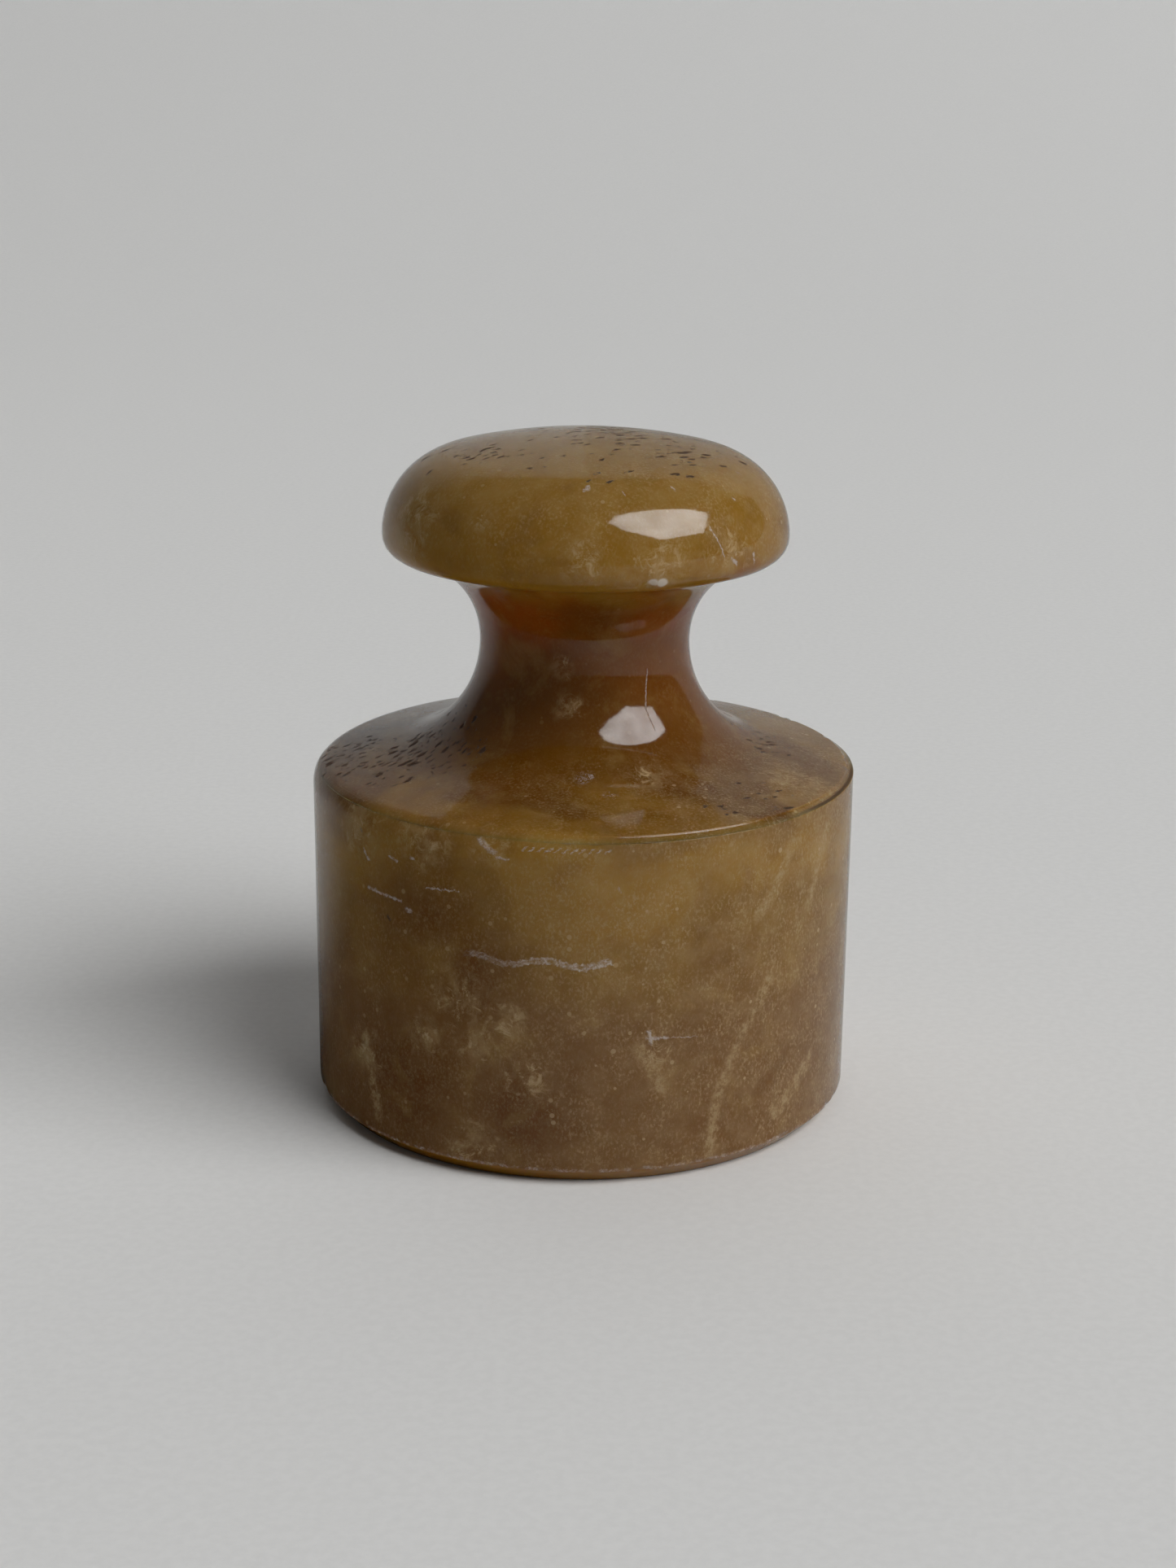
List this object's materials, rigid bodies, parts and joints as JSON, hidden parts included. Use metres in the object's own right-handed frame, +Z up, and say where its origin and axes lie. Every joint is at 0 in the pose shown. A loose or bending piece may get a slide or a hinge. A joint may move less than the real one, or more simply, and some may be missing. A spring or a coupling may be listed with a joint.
{
  "type": "mortar and pestle",
  "caption": "Turned stone mortar closed by its own pestle: a cylindrical cup with a round-bottomed bowl, and a knobbed pestle whose shoulder rests on the rim.",
  "frame": {"origin": "centre of the foot, on the surface it stands on", "axes": "+Z up along the axis of both stones; X and Y are free because both stones are turned, and the camera side is -Y"},
  "size_m": [0.08, 0.08, 0.0993],
  "materials": {
    "polished_stone": "polished translucent banded calcite, honey brown with pale clouds and veins; ground matt inside the bowl and on the grinding head"
  },
  "bodies": {
    "mortar": {"mortar": "polished_stone"},
    "pestle": {"pestle": "polished_stone"}
  },
  "joints": [
    {"name": "pestle_lift", "type": "slide", "parent": "mortar", "child": "pestle", "axis": [0, 0, 1], "range_m": [0, 0.045]}
  ]
}
